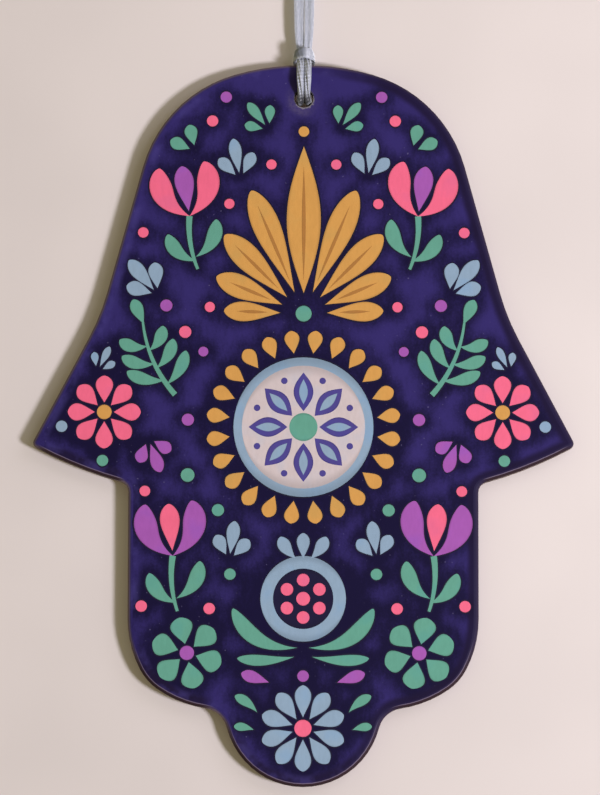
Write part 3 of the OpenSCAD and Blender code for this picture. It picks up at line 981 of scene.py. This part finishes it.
def band(rows, count, pleats, depth, start_turn=0.0, turns=0.0, around=28, lens=0.0, crinkle=0.0):
    """A ribbon along a route of rows of x, y, height, way out, half width and half thickness, all
    in millimetres. Across it, s runs from -1 to 1 on the front and back again on the rear. It
    stands out by depth cos(pi pleats s + turn) (1 - s^4), and is as thick as the satin plus a lens
    of sqrt(1 - s^2) half thicknesses times lens. The turn grows evenly, which slants the folds.
    Crinkles are the product of two sines that cross the ribbon aslant, crinkle half thicknesses
    deep. It gives the points, their places along the thread, and how much painted shade each one
    gets, from 1 deep in a fold down to -0.5 for a painted highlight on a crest."""
    r = smoothed(rows, count)
    at, out, wide, thick = r[:, :3], r[:, 3:6], r[:, 6], r[:, 7]
    along = np.gradient(at, axis=0)
    along /= np.linalg.norm(along, axis=1, keepdims=True)
    face = out - (out * along).sum(1, keepdims=True) * along
    face /= np.linalg.norm(face, axis=1, keepdims=True)
    edge = np.cross(along, face)
    angle = np.linspace(0, 2 * np.pi, around, endpoint=False) + np.pi / around
    s, side = np.cos(angle), np.sign(np.sin(angle))
    turn = start_turn + turns * 2 * np.pi * np.linspace(0, 1, count)[:, None]
    to_edge = 1 - s[None] ** 4
    wave = np.cos(np.pi * pleats * s[None] + turn) * to_edge
    satin_half = bpy.context.scene.plaque_sizes.satin / MM / 2
    skin = side * (satin_half * (1 - s**6) + 0.02)
    body = side * lens * np.sqrt(1 - s**2)
    run = np.concatenate([[0], np.cumsum(np.linalg.norm(np.diff(at, axis=0), axis=1))])
    aslant = np.sin(4.1 * run[:, None] + 3.3 * s[None] + side[None])
    aslant = aslant * np.sin(2.7 * run[:, None] - 4.4 * s[None] + 1.9 * side[None])
    lumps = crinkle * aslant * to_edge * side[None]
    rise = thick[:, None] * (depth * wave + body[None] + lumps) + skin[None]
    breadth = s[None] * wide[:, None]
    points = at[:, None] + edge[:, None] * breadth[..., None] + face[:, None] * rise[..., None]
    uv = np.stack(np.broadcast_arrays(breadth, run[:, None]), -1)
    # Folds get painted shade; crinkle crests and both edges get painted highlights.
    folded = (0.5 - 0.5 * wave * side[None]) * np.clip(2.2 * depth * thick[:, None], 0, 1)
    folded = folded - 0.9 * crinkle * aslant - 0.5 * s[None] ** 16
    return points * MM, uv * MM, folded.clip(-0.5, 1)


def sewn(bands):
    """Several ribbon bands as one set of points, faces, threads and folds, with closed ends."""
    points, faces, threads, folds, first = [], [], [], [], 0
    for p, uv, folded in bands:
        count, around = p.shape[:2]
        faces += [*(first + grid(count, around, closed=True))]
        faces += [first + np.arange(around)[::-1], first + (count - 1) * around + np.arange(around)]
        points.append(p.reshape(-1, 3))
        threads.append(uv.reshape(-1, 2))
        folds.append(folded.ravel())
        first += count * around
    return np.concatenate(points), faces, np.concatenate(threads), np.concatenate(folds)


def ribbon_piece(name, bands, body):
    """A piece of satin from one or more bands, on a body, or on none."""
    points, faces, threads, folds = sewn(bands)
    carries = {"folded": folds}
    return made(name, points, faces, satin(), body, "satin_ribbon", carries=carries, uv=threads)


# The routes follow those of the ribbon's solids, but for a bar that droops a little more, legs that
# stand a little further forward and a fuller ribbon in the hole. Each row is what band reads.
# The right strand's route, from the nail down to the hitch.
STRAND = [
    [1.3, 0, 0, 1, 0, 0, 1.5, 0.2],
    [1.3, 0, -2.5, 1, 0, 0, 1.5, 0.2],
    [1.35, 0, -6, 0.94, -0.34, 0, 1.5, 0.2],
    [1.42, 0, -9.5, 0.7, -0.7, 0, 1.5, 0.2],
    [1.48, -0.05, -13, 0.3, -0.95, 0, 1.4, 0.2],
    [1.42, -0.12, -18, 0, -1, 0, 1.3, 0.2],
    [1.25, -0.15, -27, 0, -1, 0, 1.1, 0.25],
    [0.95, 0, -31.1, 0, -1, 0, 0.9, 0.3],
    [0.95, 0, -31.7, 0, -1, 0, 0.9, 0.3],
]
# The hitch's right half, from under the strand to the middle of its bar.
HITCH = [
    [0.95, 0, -32.3, 0, -1, 0, 0.9, 0.3],
    [0.95, -0.1, -32.9, 0, -1, 0.2, 0.9, 0.3],
    [0.95, -0.92, -33.9, 0, -1, 0.9, 0.9, 0.3],
    [0.95, -2.0, -34.9, 0, -1, 0.8, 0.95, 0.35],
    [1.0, -3.2, -36.5, 0, -1, 0.3, 0.95, 0.7],
    [1.0, -3.8, -39.64, 0, -1, 0, 0.95, 1.1],
    [0.9, -3.6, -42.37, 0, -1, -0.2, 0.88, 1.0],
    [0.85, -2.65, -44.2, 0, -1, -0.7, 0.8, 0.65],
    [1.0, -1.5, -45.5, 0, -0.3, -1, 1.0, 1.0],
    [1.0, 0, -45.7, 0, 0, -1, 1.0, 1.25],
    [1.0, 1.4, -45.5, 0, 0.3, -1, 1.0, 0.9],
    [0.9, 2.3, -44.2, 0, 1, -0.8, 0.85, 0.4],
    [1.0, 2.5, -42.37, 0, 1, 0, 1, 0.35],
    [1.25, 2.5, -39.64, 0, 1, 0, 1.1, 0.35],
    [1.7, 2.55, -36.5, 0.1, 1, 0, 1, 0.35],
    [2.1, 2.3, -34.8, 0.5, 1, 0.3, 0.9, 0.35],
    [2.45, 1.2, -33.8, 1, 0.3, 0.2, 1.05, 0.3],
    [2.5, -0.48, -33.7, 1, -0.2, 0.1, 1.15, 0.25],
    [2.15, -1.75, -33.5, 0.8, -0.6, 0, 1.3, 0.25],
    [1.25, -2.7, -33.15, 0.45, -0.9, 0, 1.4, 0.25],
    [0, -3.1, -33.0, 0, -1, 0, 1.4, 0.25],
]
# One tail, from inside the knot to its cut end.
TAIL = [
    [0.5, 0, 4.8, 0, -1, 0, 0.8, 0.4],
    [1, -0.2, 7, 0.1, -1, 0, 1.1, 0.3],
    [2.1, -0.5, 9.5, 0.2, -1, 0, 1.5, 0.2],
    [3.8, -0.8, 12.5, 0.3, -1, 0, 1.5, 0.2],
]
# Turns a route of the right side into that of the left side.
MIRROR = np.array([-1, 1, 1, -1, 1, 1, 1, 1])


# Width of the camera's sensor, in millimetres.
SENSOR = 36


class PLAQUE_OT_stage(bpy.types.Operator):
    """Camera at the photograph's angle, a pale wall and floor, and soft lamps"""

    bl_idname = "plaque.stage"
    bl_label = "Stage"

    def execute(self, context):
        stage = context.scene.plaque_stage
        target = Vector((stage.look_x, FACE, stage.look_z))
        camera = bpy.data.objects.new("camera", bpy.data.cameras.new("camera"))
        context.scene.collection.objects.link(camera)
        back = Vector((0, -math.cos(stage.rise), math.sin(stage.rise)))
        camera.location = target + back * stage.distance
        camera.rotation_mode = "QUATERNION"
        roll = Matrix.Rotation(stage.roll, 4, back)
        upright = back.to_track_quat("Z", "Y").to_matrix().to_4x4()
        camera.rotation_quaternion = (roll @ upright).to_quaternion()
        # The picture is taller than wide, so the sensor's width spans the height of the view.
        camera.data.sensor_width = SENSOR
        camera.data.lens = SENSOR * stage.distance / stage.view_height
        camera.data.clip_start, camera.data.clip_end = 0.01, 20
        context.scene.camera = camera
        self.wall()
        self.lamp("key", (0.8, -0.88, -0.44), target, stage.key, 0.23, KEY_LIGHT)
        self.lamp("fill", (0.62, -0.6, 0.3), target, stage.fill, 0.6, FILL_LIGHT)
        self.lamp("rear", (0.3, 0.7, 0.3), target, 2.5 * stage.fill, 0.7, REAR_LIGHT)
        self.air(context.scene, stage.air)
        return {"FINISHED"}

    def wall(self):
        """A wall that curves out into a floor: a line, a quarter circle and another line."""
        y, floor, bend, reach, half = BACK + 1.35 * MM, -0.34, 0.1, 1.6, 0.55
        turn = np.linspace(0, np.pi / 2, 17)
        profile = np.column_stack(
            [
                np.concatenate([[y], y - bend + bend * np.cos(turn), [-reach]]),
                np.concatenate([[reach], floor + bend - bend * np.sin(turn), [floor]]),
            ]
        )
        side = np.linspace(-half, half, 9)
        across, along = np.repeat(side, len(profile)), np.tile(profile, (len(side), 1))
        points = np.column_stack([across, along])
        faces = grid(len(side), len(profile))
        wall = made("wall_and_floor", points, faces, plaster(), None, None)

    def lamp(self, name, at, target, power, size, light):
        """A round soft lamp of a size and a power that points at the target."""
        data = bpy.data.lights.new(name, "AREA")
        data.shape, data.size, data.energy, data.color = "DISK", size, power, light[:3]
        lamp = bpy.data.objects.new(name, data)
        bpy.context.scene.collection.objects.link(lamp)
        lamp.location = Vector(at)
        lamp.rotation_mode = "QUATERNION"
        lamp.rotation_quaternion = (target - lamp.location).to_track_quat("-Z", "Y")

    def air(self, scene, strength):
        """Light from all round, with a plain pale background for the camera alone."""
        air = Finish(bpy.data.worlds.new("air"))
        light = air.node("ShaderNodeBackground", {}, {"Color": WARM_LIGHT, "Strength": strength})
        pale = air.node("ShaderNodeBackground", {}, {"Color": PALE_AIR, "Strength": 1.0})
        seen = air.node("ShaderNodeLightPath", output="Is Camera Ray")
        mixed = air.node("ShaderNodeMixShader", {}, {0: seen, 1: light, 2: pale})
        scene.world = air.ends_in("ShaderNodeOutputWorld", mixed)
        scene.view_settings.view_transform = "Standard"


class PLAQUE_OT_strands(bpy.types.Operator):
    """Both taut strands of the ribbon, from the nail to the hitch"""

    bl_idname = "plaque.strands"
    bl_label = "Ribbon strands"

    def execute(self, context):
        for name, side, rows in (
            ("left", -1, np.array(STRAND) * MIRROR),
            ("right", 1, np.array(STRAND)),
        ):
            under_bar = [[0.95 * side, 0, -32.2, 0, -1, 0, 0.88, 0.3]]
            laid = np.array([*rows, *under_bar])
            # Lower down each strand is wider, nearer the middle and turned a little to the right.
            low = np.clip((-laid[:, 2] - 9) / 18, 0, 1)
            laid[:, 6] = np.minimum(laid[:, 6] + 0.22 * low, 1.5 - 0.26 * low)
            laid[:, 0] = side * np.minimum(np.abs(laid[:, 0]), 1.5 - 0.25 * low)
            laid[:, 3] += 0.16 * low
            turned = {"start_turn": 0.9 * side, "turns": 0.3 * side}
            shown = band(laid, 140, 1.4, 0.34, crinkle=0.14, **turned)
            strand = ribbon_piece(f"satin_{name}_strand", [shown], None)
            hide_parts(f"ribbon_{name}_strand")
            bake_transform(strand)
        return {"FINISHED"}


class PLAQUE_OT_hitch(bpy.types.Operator):
    """The lark's head through the hole: legs in front, legs behind and the bar across the neck"""

    bl_idname = "plaque.hitch"
    bl_label = "Ribbon hitch"

    def execute(self, context):
        right = np.array(HITCH)
        left = (right * MIRROR)[::-1]
        whole = np.concatenate([right, left[1:]])
        rumpled = {"turns": 9.0, "lens": 0.68, "crinkle": 0.22}
        points, thread, folded = band(whole, 520, 1.7, 0.15, around=36, **rumpled)
        x, y, z = np.moveaxis(points / MM, 2, 0)
        # Painted shade darkens the bar's left, apart from the painted highlight along its top
        # crest.
        on_left = np.clip((0.9 - x) / 1.2, 0, 1)
        on_bar = np.clip((z + 34.3) / 0.5, 0, 1) * (y < -1)
        crest = (folded < -0.35) & (z > -33.2)
        folded = np.where(crest, folded, np.maximum(folded, 1.4 * (on_left * on_bar)))
        hitch = ribbon_piece("satin_hitch", [(points, thread, folded)], None)
        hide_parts("ribbon_hitch")
        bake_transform(hitch)
        return {"FINISHED"}


class PLAQUE_OT_knot(bpy.types.Operator):
    """The overhand knot, its two cut tails and the turn of ribbon on the nail"""

    bl_idname = "plaque.knot"
    bl_label = "Ribbon knot"

    def execute(self, context):
        # The knot is a trefoil round a height h: x = r (sin t + 2 sin 2t), y = -sin 3t and
        # z = h + r (cos t - 2 cos 2t).
        h, r, t = 3.05, 0.62, np.linspace(0, 2 * np.pi, 73)
        x, y = r * (np.sin(t) + 2 * np.sin(2 * t)), -np.sin(3 * t)
        loop = np.column_stack([x, y, h + r * (np.cos(t) - 2 * np.cos(2 * t))])
        away = loop - [0, 0, h]
        away /= np.linalg.norm(away, axis=1, keepdims=True)
        size = np.broadcast_to([0.95, 0.42], (len(t), 2))
        tied = band(np.column_stack([loop, away, size]), 240, 2.0, 0.4, turns=2.0, lens=0.8)
        # Over the nail the ribbon lies along a little more than half a circle.
        over = np.radians(np.linspace(192, -12, 25))
        outward = np.column_stack([np.cos(over), 0 * over, np.sin(over)])
        size = np.broadcast_to([1.5, 0.2], (len(over), 2))
        saddle = np.column_stack([1.3 * outward, outward, size])
        tails = np.array(TAIL)
        bands = [tied, band(saddle, 60, 1.5, 0.2)]
        bands += [band(t, 50, 1.0, 0.9, turns=0.3) for t in (tails, tails * MIRROR)]
        knot = ribbon_piece("satin_knot", bands, "knot")
        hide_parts("ribbon_knot")
        return {"FINISHED"}


class PLAQUE_OT_board(bpy.types.Operator):
    """Finishes of the hardboard, its white coat and the print that wraps the rolled edge"""

    bl_idname = "plaque.board"
    bl_label = "Board and coats"

    def execute(self, context):
        finishes = {"board": hardboard, "white_ground": ground_coat, "printed_face": night_print}
        for node, finish in finishes.items():
            slots = frame["nodes"][node].material_slots
            if not slots:
                raise RuntimeError(f"{node} came without a material slot")
            for slot in slots:
                slot.material = finish()
        return {"FINISHED"}


class PLAQUE_OT_ground(bpy.types.Operator):
    """The painting's indigo ground, darker near the motifs"""

    bl_idname = "plaque.ground"
    bl_label = "Painted ground"

    def execute(self, context):
        points, quads, carries = painted_ground()
        finish = night_print()
        ground = made("painted_ground", points, quads, finish, "plaque", "print", False, carries)
        thick = ground.modifiers.new("thick", "SOLIDIFY")
        thick.thickness, thick.offset = 0.02 * MM, -1
        return {"FINISHED"}


class PLAQUE_OT_roundel(bpy.types.Operator):
    """The roundel in the palm"""

    bl_idname = "plaque.roundel"
    bl_label = "Roundel"

    def execute(self, context):
        lay_paint("roundel", "roundel_star", "roundel_veins")
        return {"FINISHED"}


class PLAQUE_OT_palmette(bpy.types.Operator):
    """The gold palmette above the roundel"""

    bl_idname = "plaque.palmette"
    bl_label = "Palmette"

    def execute(self, context):
        lay_paint("palmette", "palmette_veins")
        return {"FINISHED"}


class PLAQUE_OT_fruit(bpy.types.Operator):
    """The pomegranate under the roundel"""

    bl_idname = "plaque.fruit"
    bl_label = "Pomegranate"

    def execute(self, context):
        lay_paint("fruit", "seeds")
        return {"FINISHED"}


class PLAQUE_OT_flowers(bpy.types.Operator):
    """The flowers, sprigs and branches on the shoulders, thumbs, palm and fingers"""

    bl_idname = "plaque.flowers"
    bl_label = "Flowers and sprigs"

    def execute(self, context):
        lay_paint("shoulder", "waist", "thumb", "palm", "fingertip")
        return {"FINISHED"}


class PLAQUE_PT_sidebar(bpy.types.Panel):
    """Lists the plaque's pieces and settings"""

    bl_label = "Hamsa hand plaque"
    bl_idname = "PLAQUE_PT_sidebar"
    bl_space_type = "VIEW_3D"
    bl_region_type = "UI"
    bl_category = "Plaque"

    def draw(self, context):
        for operator in OPERATORS:
            self.layout.operator(operator.bl_idname)
        for name, group in SETTINGS.items():
            box = self.layout.box()
            for key in group.__annotations__:
                box.prop(getattr(context.scene, name), key)


OPERATORS = (
    PLAQUE_OT_stage,
    PLAQUE_OT_strands,
    PLAQUE_OT_hitch,
    PLAQUE_OT_knot,
    PLAQUE_OT_board,
    PLAQUE_OT_ground,
    PLAQUE_OT_roundel,
    PLAQUE_OT_palmette,
    PLAQUE_OT_fruit,
    PLAQUE_OT_flowers,
)
SETTINGS = {
    "plaque_paints": PaintColours,
    "plaque_colours": MakeColours,
    "plaque_sizes": PlaqueSizes,
    "plaque_stage": StageSizes,
}


def register():
    """Makes the operators, the panel and the settings known."""
    for cls in (*SETTINGS.values(), *OPERATORS, PLAQUE_PT_sidebar):
        bpy.utils.register_class(cls)
    for name, group in SETTINGS.items():
        setattr(bpy.types.Scene, name, PointerProperty(type=group))


def unregister():
    """Takes them away again."""
    for name in SETTINGS:
        delattr(bpy.types.Scene, name)
    for cls in reversed((*SETTINGS.values(), *OPERATORS, PLAQUE_PT_sidebar)):
        bpy.utils.unregister_class(cls)


def main():
    """Runs every operator in order."""
    register()
    for operator in OPERATORS:
        group, name = operator.bl_idname.split(".")
        getattr(getattr(bpy.ops, group), name)()


if __name__ == "__main__":
    main()
